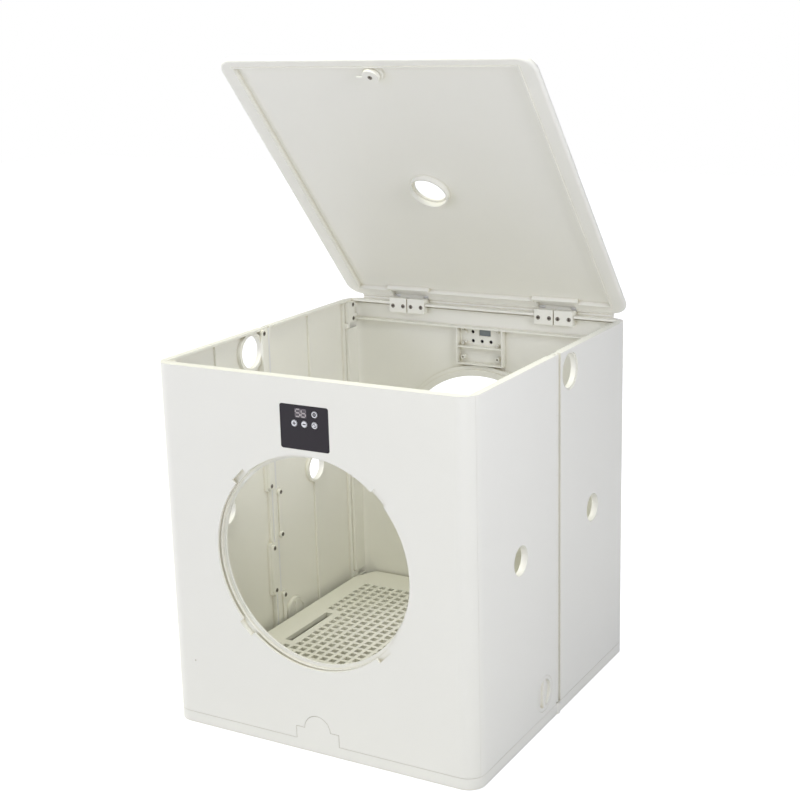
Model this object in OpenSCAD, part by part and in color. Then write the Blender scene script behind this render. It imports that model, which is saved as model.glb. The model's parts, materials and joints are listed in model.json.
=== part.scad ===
// Folding pet cabin: a square box with a round entry at each end, a hinged lid, a lift-off
// base tray and a slatted floor. X is across, Y runs from the front (-Y) to the rear, Z is up.
// The origin is the centre of the underside.

/* [Box] */
// Width across the outer faces of the side walls
body_w = 430; // [400:1:460]
// Depth between the outer faces of the end panels
body_d = 457; // [440:1:490]
// Height of the wall rim above the ground
body_h = 466; // [460:1:490]
// Radius of the four upright corners
corner_r = 22.5; // [18:0.5:25]
// Thickness of the moulded wall skins
skin = 3; // [2.6:0.1:3.4]
// Depth of the end panels' ribs, collars and returns, from the outer face
rib_depth = 13; // [12:0.5:14]
// Thickness of a rib
rib_t = 2; // [1.6:0.1:2.6]
// Thickness of the flange round the rim
rim_t = 3; // [2:0.1:4]
// Width of the rim flange on the side walls
side_rim_w = 10; // [8:0.5:11]
// Width of the rim flange on the end panels
end_rim_w = 13; // [11:0.5:13]
// Distance from the rim down to the stiffening rib of the end panels
band_drop = 27.5; // [25:0.5:29]
// Distance from the rim down to the small ledge above that rib
ledge_drop = 6; // [5:0.25:8]
// Thickness of that ledge
ledge_t = 1.5; // [1:0.1:2]
// How far that ledge stands in from the skin
ledge_w = 3; // [2:0.25:4]
// Seam left between neighbouring wall mouldings
seam = 0.2; // [0.15:0.05:0.5]

/* [Base tray] */
// Height of the tray's outer skirt
skirt_h = 14.2; // [12:0.2:15]
// Running gap between the tray and the walls that lift off it
lift_gap = 0.4; // [0.3:0.05:0.6]
// Thickness of the tray's walls and floor
tray_wall = 2.5; // [2:0.1:3]
// Height of the pan that carries the floor grate
pan_h = 41; // [38:0.5:42]
// Distance from the side walls' outer face to the pan
pan_gap_side = 14.5; // [14:0.5:17]
// Distance from the end panels' outer face to the pan
pan_gap_end = 5.5; // [5:0.5:8]
// Cut across each pan corner, measured along X
pan_cut_x = 17; // [16:0.5:22]
// Cut across each pan corner, measured along Y
pan_cut_y = 35; // [34:0.5:42]
// Width of the lock tabs that stand in the end panels
tab_w = 60; // [50:1:66]
// Height of the lock tabs' shoulders
tab_shoulder_z = 30; // [27:0.5:33]
// Radius of the dome on a lock tab
tab_dome_r = 18; // [14:0.5:20]
// Gap round a lock tab
tab_gap = 0.5; // [0.4:0.05:0.8]
// Radius of the half-round boss on the skirt below each mid hinge
skirt_boss_r = 6; // [5:0.25:6.5]
// How far that boss stands out of the skirt
skirt_boss_out = 1.8; // [1:0.1:2.4]

/* [Floor grate] */
// Thickness of the floor grate
grate_t = 6.5; // [5:0.25:7.5]
// How far the grate's edge lies inside the outside of the pan's wall
grate_in = 1; // [0.5:0.1:1.5]
// Gap between the grate and what carries it
seat_gap = 0.3; // [0.2:0.05:0.5]
// Spacing of the square openings
grate_pitch = 13.8; // [12:0.1:16]
// Width of the bars between the openings
grate_bar = 5; // [4:0.1:6]
// Solid border at the left and right of the openings
grate_border_x = 30; // [28:0.5:34]
// Solid border at the front and rear of the openings
grate_border_y = 52; // [48:0.5:56]
// Length of the finger slots
slot_l = 104; // [90:1:108]
// Width of the finger slots
slot_w = 11; // [9:0.5:14]
// Depth of the locating lip that drops into the pan
grate_lip = 4; // [3:0.25:6]
// Gap between the locating lip and the pan
lip_gap = 0.8; // [0.5:0.05:1.2]

/* [Entries] */
// Distance from the rim down to the centre of the round entries
entry_drop = 224; // [223.5:0.5:228]
// Radius of the opening in the skin
entry_r = 133; // [128:0.5:136]
// Radius of the clear opening through the collar
entry_clear_r = 128; // [124:0.5:130]
// Outer radius of the channel behind the skin, where a door ring turns
channel_r = 139.5; // [138:0.5:141]
// Depth of that channel
channel_d = 4; // [3:0.25:5]
// Angle taken by each bayonet notch
notch_angle = 9; // [7:0.5:12]
// Radius of the moulding hole low in each end panel
vent_dot_r = 1; // [0.8:0.1:1.5]
// Distance of the moulding hole from the panel's middle
vent_dot_x = 178.5; // [170:0.5:185]
// Height of the moulding hole
vent_dot_z = 86; // [80:1:92]
// Wall left behind and round that channel
channel_wall = 2.5; // [2:0.25:3]
// Outer radius of the collar
collar_r = 136.5; // [136:0.5:138]
// Thickness of the lip at the collar's inner end
collar_lip = 2.5; // [2:0.25:3]

/* [Control housing] */
// Width of the housing moulded inside each end panel
housing_w = 72; // [68:1:76]
// Height of the housing, from its bottom to the stiffening rib
housing_h = 53.5; // [52:0.25:54]
// Distance of the wall between the two bays below the switch cluster's middle
divider_drop = 14; // [11.5:0.1:14.5]
// Distance from the rim down to the middle of the front panel's switch cluster
front_cluster_drop = 46.6; // [45:0.2:48]
// Distance from the rim down to the middle of the rear panel's switch cluster
rear_cluster_drop = 41.8; // [41.4:0.1:45]
// Vertical distance from the cluster's middle to its two rows
row_rise = 6.4; // [6:0.1:7]
// Spacing of the switches along a row
switch_pitch = 13.7; // [12:0.1:14]
// Radius of the holes for the switch stems
stem_hole_r = 2.5; // [2.3:0.1:2.8]
// Width of the display window
window_w = 18; // [14:0.5:18]
// Height of the display window
window_h = 10; // [8:0.5:11]
// Middle of the display window, to the left of the panel's middle
window_x = 4.4; // [4:0.1:5]
// Width of the control label
label_w = 66; // [60:0.5:70]
// Height of the control label
label_h = 53; // [50:0.5:56]
// Thickness of the control label
label_t = 0.8; // [0.6:0.05:1]
// Corner radius of the control label
label_r = 3; // [2:0.25:4]
// Distance of the label's middle below the switch cluster's middle
label_drop = 10.7; // [10:0.1:12]
// Radius of a button cap
button_r = 4.1; // [3.4:0.1:4.3]
// Gap round a button cap
button_gap = 0.3; // [0.25:0.05:0.4]
// Travel of a button
button_travel = 0.4; // [0.3:0.05:0.5]
// Height of the bosses that carry the board
boss_h = 4; // [3.5:0.25:4.5]
// Radius of those bosses
boss_r = 2.3; // [2:0.1:2.5]
// Thickness of the circuit board
board_t = 1.6; // [1.2:0.1:2]
// Height of the switches on the board
switch_h = 2.6; // [2.2:0.1:2.8]
// Thickness of the covers over the housing's bays
bay_cover_t = 2; // [1.5:0.25:2.5]
// Radius of the posts that the cable cover is screwed to
cover_post_r = 3; // [2.6:0.1:3.5]
// Distance of those posts from the housing's side walls
cover_post_in = 9.3; // [7:0.1:12]

/* [Side walls] */
// Distance of the two small ports from the middle of a side wall
port_y = 108; // [100:1:116]
// Distance from the rim down to the middle of the small ports
port_drop = 224.5; // [216:0.5:234]
// Bore radius of the small ports
port_r = 18.5; // [16:0.25:20]
// Distance of the large port from the middle of a side wall
hose_y = 35; // [34:0.5:40]
// Distance from the rim down to the middle of the large port
hose_drop = 27.5; // [27.5:0.5:36]
// Bore radius of the large port
hose_r = 21.6; // [19:0.1:22]
// Radius of the shallow seat round the large port
hose_seat_r = 23.3; // [22.5:0.1:24]
// Depth of the seats round the large port and the cap
seat_d = 1.5; // [1:0.1:2]
// Wall of the sleeves round the ports
sleeve_t = 3; // [2:0.1:3.4]
// Depth of the sleeves, from the outer face
sleeve_d = 8.5; // [8:0.25:8.5]
// Distance of the cap from the middle of a side wall
cap_y = 42; // [40:0.5:50]
// Height of the cap
cap_z = 44.4; // [44:0.1:48]
// Radius of the cap's flange
cap_r = 23; // [21:0.1:24]
// Radius of the plug that turns in the wall
cap_plug_r = 20.4; // [19:0.1:20.8]
// Radial gap round the cap
cap_gap = 0.25; // [0.2:0.05:0.4]
// Width of the grip bar across the cap
cap_bar_w = 5; // [4:0.25:6]
// Depth of the recess either side of the grip bar
cap_grip_d = 4; // [3:0.25:4.5]
// Depth of the recess in a cap's inner face
cap_back_d = 2; // [1:0.25:2.5]
// Width of the upright rib in the middle of each half wall
wall_rib_w = 5; // [4:0.25:7]

/* [Mid hinges] */
// Outer radius of the hinge barrels in the side walls
barrel_r = 4.6; // [4.2:0.1:5]
// Number of knuckles on each mid hinge
knuckles = 6; // [4:2:8]
// Radius of the hinge pins
pin_r = 1.5; // [1.3:0.05:1.7]
// Radial clearance of every hinge pin
pin_gap = 0.06; // [0.04:0.01:0.1]
// Distance from the barrel to the outer edge of each half wall
wing_gap = 2; // [1.5:0.1:2.5]
// Width of the eyes round the screws of the hinge plates
plate_w = 9.5; // [9:0.25:10]
// Width of the hinge plates between their eyes
strip_w = 7; // [5:0.25:8]
// Thickness of the strip between the two eyes of a waisted plate
strip_t = 2.25; // [1.5:0.25:3]
// Thickness of the screwed hinge plates
plate_t = 4; // [3:0.25:4.25]
// Distance of a plate's screws from its ends
plate_screw_in = 7; // [6:0.25:10]

/* [Corner hinges] */
// How far the corner blocks stand in from the side walls' outer face
block_in = 14; // [13.5:0.25:14]
// Depth of the corner posts and blocks, from the end panels' skin
block_y = 27; // [26:0.5:27.5]
// Height of a corner block
block_h = 30; // [26:1:34]
// Thickness of the screwed corner cover
cover_t = 5.5; // [5:0.25:6]
// Height of the lug that each half wall puts over its corner pin
lug_h = 8; // [6:0.5:10]
// Radius of the corner hinge pins
corner_pin_r = 2; // [1.8:0.1:2.2]
// Distance of a corner pin from the post's outer edge
corner_pin_in = 5; // [4.5:0.25:6]
// Wall of the corner lugs round the pin
lug_wall = 2; // [1.8:0.1:2.2]
// Gap above and below the corner lugs
lug_gap = 0.3; // [0.2:0.05:0.5]
// Wall of the hollow corner posts
post_t = 2.5; // [2:0.25:3]
// Distance of a corner cover's screws from its ends
cover_screw_in = 5; // [4.5:0.25:6]
// Distance of those screws from the post's outer edge
cover_screw_y = 14; // [13:0.5:14.5]

/* [Lid] */
// Angle at which the lid stands open
lid_open = 48.8; // [0:0.1:60]
// Gap between the closed lid and the rim
lid_gap = 1.8; // [1.6:0.1:2.5]
// Overall thickness of the lid
lid_t = 8; // [7.5:0.25:9]
// Thickness of the lid's skin
lid_skin = 2.5; // [2:0.1:2.75]
// Half width of the rib frame under the lid
frame_x = 195; // [188:0.5:197]
// Distance of the rib frame from the hinge edge
frame_v0 = 15; // [12:0.5:16]
// Distance of the rib frame from the free edge
frame_v1 = 11.5; // [11:0.5:20]
// How far the rib frame stands below the lid's edge
frame_drop = 1.2; // [0.8:0.1:1.3]
// Outer radius of the vent collar
vent_r = 26.5; // [25:0.25:28]
// Wall of the vent collar
vent_wall = 2; // [1.5:0.1:2.5]
// Radius of the hole in the skin inside the collar
vent_bore_r = 21.6; // [18:0.1:22]
// Depth of the vent collar below the skin
vent_d = 8; // [6:0.5:10]
// Distance of the turn catch from the free edge
catch_v = 25; // [25:0.25:28]
// Radius of the turn catch
catch_r = 10.8; // [10:0.1:11]
// Reach of the catch's pointer from its centre
catch_reach = 19; // [18:0.25:20]
// Thickness of the pointer
catch_t = 1.8; // [1.5:0.1:2]
// Width of the pointer
pointer_w = 3; // [2.5:0.25:4]
// Radius of the lid's boss round the catch
catch_boss_r = 13.7; // [13:0.1:14]
// Height of that boss below the lid's skin
catch_boss_h = 4.4; // [3.5:0.1:4.6]
// Radius of the catch's shaft
shaft_r = 5; // [4:0.25:5.5]
// Radius of the catch's outside knob
knob_r = 14; // [12:0.5:15]
// Height of the catch's outside knob
knob_h = 4; // [3.5:0.25:5]
// Thickness of the strike under the front rim where the pointer turns
strike_t = 1.2; // [1:0.1:1.4]

/* [Lid hinges] */
// Distance of each lid hinge from the middle of the rear panel
lid_hinge_x = 113; // [100:1:120]
// Width of one hinge block
lid_block_w = 27.2; // [26:0.2:28]
// Gap between the two blocks of a hinge
lid_block_gap = 1.5; // [1:0.1:2]
// Distance from the rim down to the blocks' lower edge
lid_block_drop = 14; // [13:0.5:15]
// How far the blocks stand above the rim
lid_block_rise = 6.3; // [5.5:0.1:6.4]
// Distance of the blocks' front face from the rear panel's outer face
lid_block_in = 14.5; // [14:0.5:16]
// Thickness of a block's front plate
lid_plate_t = 3.5; // [3:0.1:4]
// Outer radius of the lid hinge barrels, and of the bead along the lid's hinge edge
lid_barrel_r = 2.7; // [2.5:0.1:2.8]
// Distance of the hinge axis behind the rear panel
axis_back = 3.1; // [3:0.05:3.4]
// Height of the hinge axis above the rim
axis_up = 1; // [0.8:0.05:1.2]
// Distance of a block's screws from its middle
lid_screw_dx = 8.1; // [7:0.1:9]
// Height of those screws above the block's lower edge
lid_screw_up = 9; // [5:0.25:9]
// Width of each wall arm of a lid hinge
arm_w = 9; // [7:0.25:11]
// Side gap between the lid's knuckle and the wall arms
knuckle_gap = 0.4; // [0.3:0.05:0.6]

/* [Screws] */
// Radius of the screw shanks
screw_r = 1.5; // [1.3:0.05:1.7]
// Radius of the screw heads
head_r = 2.8; // [2.5:0.1:3.1]
// Height of the screw heads
head_h = 1.6; // [1.2:0.1:1.8]
// Clearance round the shanks and the heads
screw_gap = 0.1; // [0.05:0.01:0.15]
// Length of the screws in the walls and hinges
screw_l = 9; // [8:0.25:9]

/* [Hidden] */
$fn = 64;

eps = 0.01;
bite = 1;
half_w = body_w / 2;
half_d = body_d / 2;
wall_z = skirt_h + lift_gap;
wall_h = body_h - wall_z;
rim_z = body_h - rim_t;
band_z = body_h - band_drop;
ledge_z = body_h - ledge_drop;
entry_z = body_h - entry_drop;
port_z = body_h - port_drop;
hose_z = body_h - hose_drop;
housing_z = band_z - housing_h;
front_cluster_z = body_h - front_cluster_drop;
rear_cluster_z = body_h - rear_cluster_drop;
lid_block_z = body_h - lid_block_drop;
pan_x = half_w - pan_gap_side;
pan_y = half_d - pan_gap_end;
grate_z = pan_h + seat_gap;
return_y = half_d - rib_depth - seam / 2;
in_y = half_d - skin;
in_x = half_w - skin;
wing_y = barrel_r + wing_gap;
pin_x = half_w - barrel_r - 0.4;
boss_x = half_w - sleeve_d;
plate_y = wing_y + plate_w / 2 - 1;
knuckle_l = wall_h / knuckles;
flange_t = 2.5;
post_y = in_y - block_y;
block_x = half_w - block_in;
cover_x = block_x + cover_t;
corner_pin_y = post_y + corner_pin_in;
corner_bore_l = block_h - 6;
label_front_z = front_cluster_z - label_drop;
label_rear_z = rear_cluster_z - label_drop;
front_divider_z = front_cluster_z - divider_drop;
board_y = -in_y + boss_h;
board_x = housing_w / 2 - rib_t - 1;
stem_y = board_y - switch_h - button_travel - 0.1;
cover_y = -half_d + rib_depth - bay_cover_t;
bay_gap = 0.3;
bay_x = housing_w / 2 - rib_t;
cover_post_x = housing_w / 2 - cover_post_in;
cover_post_z = (housing_z + front_divider_z) / 2;
axis_y = half_d + axis_back;
axis_z = body_h + axis_up;
lid_z = body_h + lid_gap;
lid_top = lid_z + lid_t;
lid_in = lid_top - lid_skin;
frame_z = lid_z - frame_drop;
catch_y = -half_d + catch_v;
catch_top = lid_in - catch_boss_h - seat_gap;
catch_z = rim_z + rim_t - strike_t - seat_gap - catch_t;
lid_block_front = half_d - lid_block_in;
lid_block_back = lid_block_front + lid_plate_t;
lid_screw_z = lid_block_z + lid_screw_up;
block_top = body_h + lid_block_rise;
pair_w = 2 * lid_block_w + lid_block_gap;
hinge_notch = pair_w / 2 + 0.5;
mid_knuckle = pair_w / 2 - arm_w - knuckle_gap;
board_bosses = [[28.6, 23.5], [28.3, 3.8], [-25.1, 23.1], [-25.3, 3.8]];
board_pegs = [[23.3, 19.8], [23.1, 6.7]];
switch_at = [[switch_pitch + 0.5, row_rise], [-switch_pitch, -row_rise], [0, -row_rise],
    [switch_pitch + 0.2, -row_rise]];
plastic = "whitesmoke";
inner_plastic = "ivory";
steel = "silver";
dark = [0.09, 0.08, 0.09];

// ---------- shared shapes ----------

module rounded_plan(w, d, r) {
    square([w - 2 * r, d], center = true);
    square([w, d - 2 * r], center = true);
    for (x = [-1, 1], y = [-1, 1])
        translate([x * (w / 2 - r), y * (d / 2 - r)]) circle(r);
}

// Plan of the box's outer outline, moved in by inset
module outline_plan(inset) {
    rounded_plan(body_w - 2 * inset, body_d - 2 * inset, corner_r - inset);
}

// Plan of the wall skin that runs round the box
module skin_plan() {
    difference() {
        outline_plan(0);
        outline_plan(skin);
    }
}

// Round bar or bore along Y from y0 to y1
module along_y(r, x, z, y0, y1) {
    translate([x, y0, z]) rotate([-90, 0, 0]) cylinder(r = r, h = y1 - y0);
}

// Round bar or bore along X from x0 to x1
module along_x(r, y, z, x0, x1) {
    translate([x0, y, z]) rotate([0, 90, 0]) cylinder(r = r, h = x1 - x0);
}

module box(x0, x1, y0, y1, z0, z1) {
    translate([x0, y0, z0]) cube([x1 - x0, y1 - y0, z1 - z0]);
}

// Plan of the pan: a rectangle with its corners cut, moved in by inset
module pan_plan(inset) {
    x = pan_x - inset;
    y = pan_y - inset;
    polygon([[x, y - pan_cut_y], [x - pan_cut_x, y], [-x + pan_cut_x, y], [-x, y - pan_cut_y],
        [-x, -y + pan_cut_y], [-x + pan_cut_x, -y], [x - pan_cut_x, -y], [x, -y + pan_cut_y]]);
}

// Outline of a lock tab, seen from the front; grow widens it all round
module tab_outline(grow) {
    translate([-tab_w / 2 - grow, skirt_h - rim_t])
        square([tab_w + 2 * grow, tab_shoulder_z + grow - skirt_h + rim_t]);
    translate([0, tab_shoulder_z]) circle(tab_dome_r + grow);
}

// Stands an outline drawn in X and Z upright, from y0 to y1
module upright(y0, y1) {
    translate([0, y1, 0]) rotate([90, 0, 0]) linear_extrude(y1 - y0) children();
}

// Repeats one corner's piece in all four corners
module corners() {
    for (x = [0, 1], y = [0, 1]) mirror([x, 0, 0]) mirror([0, y, 0]) children();
}

// Hole for a screw that points along +X, with a seat for its head at x0
module screw_hole_x(x0, y, z, depth) {
    along_x(screw_r + screw_gap, y, z, x0 - eps, x0 + depth);
    along_x(head_r + screw_gap, y, z, x0 - eps, x0 + head_h);
}

// Pan-head screw along +X with a cross recess
module screw_x(x0, y, z, l) {
    recess = head_r * 0.57;
    difference() {
        union() {
            along_x(head_r, y, z, x0, x0 + head_h);
            along_x(screw_r, y, z, x0 + head_h - eps, x0 + l);
        }
        box(x0 - 1, x0 + head_h / 2, y - recess, y + recess, z - 0.35, z + 0.35);
        box(x0 - 1, x0 + head_h / 2, y - 0.35, y + 0.35, z - recess, z + recess);
    }
}

// The same screw along +Y
module screw_y(x, y0, z, l) {
    translate([x, y0, z]) rotate([0, 0, 90]) screw_x(0, 0, 0, l);
}

// ---------- base tray and floor grate ----------

module base_tray() {
    color(plastic) {
        difference() {
            union() {
                linear_extrude(pan_h) pan_plan(0);
                translate([0, 0, skirt_h - rim_t]) linear_extrude(rim_t) outline_plan(0);
                linear_extrude(skirt_h) difference() {
                    outline_plan(0);
                    outline_plan(tray_wall);
                }
                for (s = [-1, 1])
                    translate([s * (half_w + skirt_boss_out - skirt_boss_r), 0, 0])
                        cylinder(r = skirt_boss_r, h = skirt_h);
            }
            translate([0, 0, tray_wall]) linear_extrude(pan_h) pan_plan(tray_wall);
        }
        for (a = [0, 180]) rotate(a)
            upright(-half_d, -in_y) tab_outline(0);
    }
}

module floor_grate() {
    nx = floor((pan_x - grate_border_x) / grate_pitch);
    ny = floor((pan_y - grate_border_y) / grate_pitch);
    hole = grate_pitch - grate_bar;
    slot_x = (nx - 0.5) * grate_pitch;
    color(inner_plastic) {
        translate([0, 0, grate_z]) linear_extrude(grate_t) difference() {
            pan_plan(grate_in);
            for (i = [-nx:nx], j = [-ny:ny])
                if (abs(i) < nx - 1 || abs(j) * grate_pitch > slot_l / 2 + hole / 2)
                    translate([i * grate_pitch, j * grate_pitch]) square(hole, center = true);
            for (s = [-1, 1]) translate([s * slot_x, 0]) square([slot_w, slot_l], center = true);
        }
        translate([0, 0, grate_z - grate_lip]) linear_extrude(grate_lip + eps) difference() {
            pan_plan(tray_wall + lip_gap);
            pan_plan(2 * tray_wall + lip_gap);
        }
    }
}

// ---------- end panels ----------

// Front panel; the rear panel is the same moulding turned round
module end_panel(cluster_z) {
    outer = -half_d;
    inner = -in_y;
    back = outer + rib_depth;
    channel_back = inner + channel_d;
    root = inner - bite;
    divider_z = cluster_z - divider_drop;
    rib_x = block_x - seat_gap;
    difference() {
        union() {
            translate([0, 0, wall_z]) linear_extrude(wall_h) intersection() {
                skin_plan();
                translate([-half_w, outer]) square([body_w, half_d - return_y]);
            }
            translate([0, 0, rim_z]) linear_extrude(rim_t) intersection() {
                outline_plan(0);
                translate([-half_w, outer]) square([body_w, end_rim_w]);
            }
            // stiffening rib and the small ledge above it
            box(-rib_x, rib_x, root, back, band_z - rib_t, band_z);
            box(-rib_x, rib_x, root, inner + ledge_w, ledge_z - ledge_t, ledge_z);
            // entry collar, with the wall of the bayonet channel
            along_y(collar_r, 0, entry_z, root, back);
            along_y(channel_r + channel_wall, 0, entry_z, root, channel_back + channel_wall);
            // control housing
            box(-housing_w / 2, housing_w / 2, root, back, housing_z, band_z);
            for (s = [0, 1]) mirror([s, 0, 0]) corner_post();
        }
        along_y(entry_r, 0, entry_z, outer - 1, back - collar_lip);
        along_y(entry_clear_r, 0, entry_z, outer - 1, back + 1);
        along_y(channel_r, 0, entry_z, inner, channel_back);
        for (a = [45:90:315]) translate([0, 0, entry_z]) rotate([0, a, 0])
            bayonet_notch(outer - 1, channel_back);
        // the two bays of the housing
        box(-bay_x, bay_x, inner, back + 1, divider_z + rib_t / 2, band_z - rib_t);
        box(-bay_x, bay_x, inner, back + 1, housing_z + rib_t, divider_z - rib_t / 2);
        // display window, switch stems and the label's seat
        box(-window_x - window_w / 2, -window_x + window_w / 2, outer - 1, inner + 1,
            cluster_z + row_rise - window_h / 2, cluster_z + row_rise + window_h / 2);
        for (p = switch_at) {
            along_y(stem_hole_r, p.x, cluster_z + p.y, outer - 1, inner + 1);
            along_y(button_r + button_gap, p.x, cluster_z + p.y, outer - 1,
                outer + label_t + button_travel + button_gap);
        }
        upright(outer - 1, outer + label_t) label_outline(cluster_z - label_drop, 0.15);
        upright(outer - 1, inner + 1) tab_outline(tab_gap);
        along_y(vent_dot_r, -vent_dot_x, vent_dot_z, outer - 1, inner + 1);
        for (s = [0, 1]) mirror([s, 0, 0]) corner_cuts();
    }
    for (p = board_bosses) difference() {
        along_y(boss_r, p.x, divider_z + p.y, root, board_y);
        along_y(0.8, p.x, divider_z + p.y, inner + 0.5, board_y + 1);
    }
    for (p = board_pegs)
        along_y(boss_r - 0.5, p.x, divider_z + p.y, root, board_y);
    for (s = [-1, 1]) difference() {
        along_y(cover_post_r, s * cover_post_x, cover_post_z, root, cover_y);
        along_y(screw_r + screw_gap, s * cover_post_x, cover_post_z, inner + 0.5, cover_y + 1);
    }
}

// Slot in the skin through which a door's bayonet lug enters the channel
module bayonet_notch(y0, y1) {
    w = channel_r * sin(notch_angle / 2);
    box(-w, w, y0, y1, entry_clear_r, channel_r - 0.5);
}

module label_outline(z, grow) {
    translate([0, z]) rounded_plan(label_w + 2 * grow, label_h + 2 * grow, label_r);
}

// Hollow upright post in the +X corner of the front panel, with solid ends for the hinge pins
module corner_post() {
    z0 = wall_z + block_h + lug_h + lug_gap * 2;
    z1 = rim_z - block_h - lug_h - lug_gap * 2;
    intersection() {
        translate([0, 0, wall_z]) linear_extrude(rim_z - seam - wall_z) union() {
            outline_plan(skin + seam);
            intersection() {
                outline_plan(skin - bite);
                translate([-half_w, -half_d]) square([body_w, half_d - return_y]);
            }
        }
        union() {
            box(block_x + 1, block_x + 1 + post_t, -half_d, -post_y, z0, z1);
            box(block_x + 1, in_x, -post_y - post_t, -post_y, z0, z1);
            box(cover_x, in_x, -half_d, -post_y, wall_z, wall_z + block_h);
            box(cover_x, in_x, -half_d, -post_y, rim_z - block_h, rim_z);
        }
    }
}

// Pin bore and screw holes at both ends of one corner of the front panel
module corner_cuts() {
    mirror([0, 1, 0]) {
        corner_bore(false);
        corner_bore(true);
        for (z0 = [wall_z, rim_z - block_h], z = corner_screw_z(z0))
            along_x(screw_r + screw_gap, post_y + cover_screw_y, z, cover_x - 1,
                block_x + screw_l + 0.5);
    }
}

// Bore for one corner pin, open toward the half wall's lug
module corner_bore(top) {
    z = top ? rim_z - block_h - 1 : wall_z + block_h - corner_bore_l;
    translate([cover_x, corner_pin_y, z])
        cylinder(r = corner_pin_r + pin_gap, h = corner_bore_l + 1);
}

function corner_screw_z(z0) = [z0 + cover_screw_in, z0 + block_h - cover_screw_in];

module front_panel() {
    reach = sqrt(pow(catch_reach + 1, 2) - pow(half_d - end_rim_w + catch_y, 2));
    color(plastic) difference() {
        end_panel(front_cluster_z);
        // room for the catch's pointer under the rim
        box(-reach - 1, reach + 1, -in_y, -half_d + end_rim_w + 1, rim_z - 1, body_h - strike_t);
    }
}

module rear_panel() {
    color(plastic) difference() {
        union() {
            rotate(180) end_panel(rear_cluster_z);
            // pads that the lid hinge blocks are screwed to
            for (s = [-1, 1])
                box(s * lid_hinge_x - pair_w / 2, s * lid_hinge_x + pair_w / 2,
                    lid_block_back, in_y + bite, lid_block_z, rim_z);
        }
        for (s = [-1, 1]) {
            box(s * lid_hinge_x - hinge_notch, s * lid_hinge_x + hinge_notch,
                lid_block_front - 1, half_d + 1, rim_z, body_h + 1);
            for (x = lid_screw_x())
                along_y(screw_r + screw_gap, s * x, lid_screw_z, lid_block_front,
                    lid_block_front + screw_l + 0.5);
        }
    }
}

// ---------- side walls ----------

// Half wall on the +X side, behind the mid hinge. even picks its knuckles, and upper says
// whether it has the large port at the top or the cap at the bottom.
module half_wall(even, upper) {
    edge_y = return_y - seam;
    rim_y = plate_y + plate_w / 2 + seat_gap;
    root = in_x + bite;
    difference() {
        union() {
            translate([0, 0, wall_z]) linear_extrude(wall_h) intersection() {
                skin_plan();
                translate([0, wing_y]) square([half_w, edge_y - wing_y]);
            }
            translate([0, 0, rim_z]) linear_extrude(rim_t) intersection() {
                outline_plan(0);
                union() {
                    translate([boss_x, wing_y]) square([sleeve_d, edge_y - wing_y]);
                    translate([half_w - side_rim_w, rim_y]) square([side_rim_w, edge_y - rim_y]);
                }
            }
            // flanges along the upright edges
            box(boss_x, root, wing_y, wing_y + flange_t, wall_z, rim_z + eps);
            box(boss_x, root, post_y - flange_t - 0.5, post_y - 0.5, wall_z, rim_z + eps);
            // upright rib
            box(in_x - skin, root, port_y - wall_rib_w / 2, port_y + wall_rib_w / 2,
                wall_z, rim_z + eps);
            along_x(port_r + sleeve_t, port_y, port_z, boss_x, root);
            if (upper) along_x(hose_seat_r + sleeve_t, hose_y, hose_z, boss_x, root);
            if (!upper) along_x(cap_plug_r + cap_gap + sleeve_t - 1, cap_y, cap_z, boss_x, root);
            for (k = [0:knuckles / 2 - 1]) knuckle(2 * k + (even ? 0 : 1));
            for (z = [wall_z + block_h + lug_gap, rim_z - block_h - lug_h - lug_gap])
                corner_lug(z);
        }
        along_x(port_r, port_y, port_z, boss_x - 1, half_w + 1);
        if (upper) {
            along_x(hose_r, hose_y, hose_z, boss_x - 1, half_w + 1);
            along_x(hose_seat_r, hose_y, hose_z, half_w - seat_d, half_w + 1);
        } else {
            along_x(cap_plug_r + cap_gap, cap_y, cap_z, boss_x - 1, half_w + 1);
            along_x(cap_r + cap_gap, cap_y, cap_z, half_w - seat_d - cap_gap, half_w + 1);
        }
        for (k = [0:knuckles / 2 - 1], e = [0, 1])
            along_x(screw_r + screw_gap, plate_y, plate_screw_z(2 * k + (even ? 0 : 1), e),
                boss_x - 1, boss_x - plate_t + screw_l + 0.5);
        translate([pin_x, 0, wall_z - 1]) cylinder(r = pin_r + pin_gap, h = wall_h + 2);
        translate([cover_x, corner_pin_y, wall_z + block_h])
            cylinder(r = corner_pin_r + pin_gap, h = rim_z - wall_z - 2 * block_h);
    }
}

// Height of a plate's lower (e = 0) or upper (e = 1) screw
function plate_screw_z(i, e) =
    wall_z + knuckle_l * i + (e ? knuckle_l - plate_screw_in : plate_screw_in);

// One knuckle with its arm and the boss that its plate is screwed to
module knuckle(i) {
    z0 = wall_z + knuckle_l * i + seam / 2;
    z1 = z0 + knuckle_l - seam;
    translate([pin_x, 0, z0]) cylinder(r = barrel_r, h = z1 - z0);
    box(boss_x, pin_x, pin_r, wing_y + 1, z0, z1);
    box(boss_x, in_x + bite, wing_y, plate_y + plate_w / 2, z0, min(z1, rim_z + eps));
}

// Lug that the corner pin passes through, with its arm from the edge flange
module corner_lug(z) {
    translate([cover_x, corner_pin_y, z]) cylinder(r = corner_pin_r + lug_wall, h = lug_h);
    box(cover_x - 2, cover_x + 3, post_y - flange_t - 0.5, corner_pin_y, z, z + lug_h);
}

module side_right_rear() { color(plastic) half_wall(false, true); }
module side_right_front() { color(plastic) mirror([0, 1, 0]) half_wall(true, false); }
module side_left_front() { color(plastic) rotate(180) half_wall(false, true); }
module side_left_rear() { color(plastic) rotate(180) mirror([0, 1, 0]) half_wall(true, false); }

module mid_hinge_pin(s) {
    color(steel) translate([s * pin_x, 0, wall_z + 0.5]) cylinder(r = pin_r, h = wall_h - 1);
}

// Y position of the plate over knuckle i of the right-hand mid hinge
function plate_at(i) = i % 2 == 0 ? -plate_y : plate_y;

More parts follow.
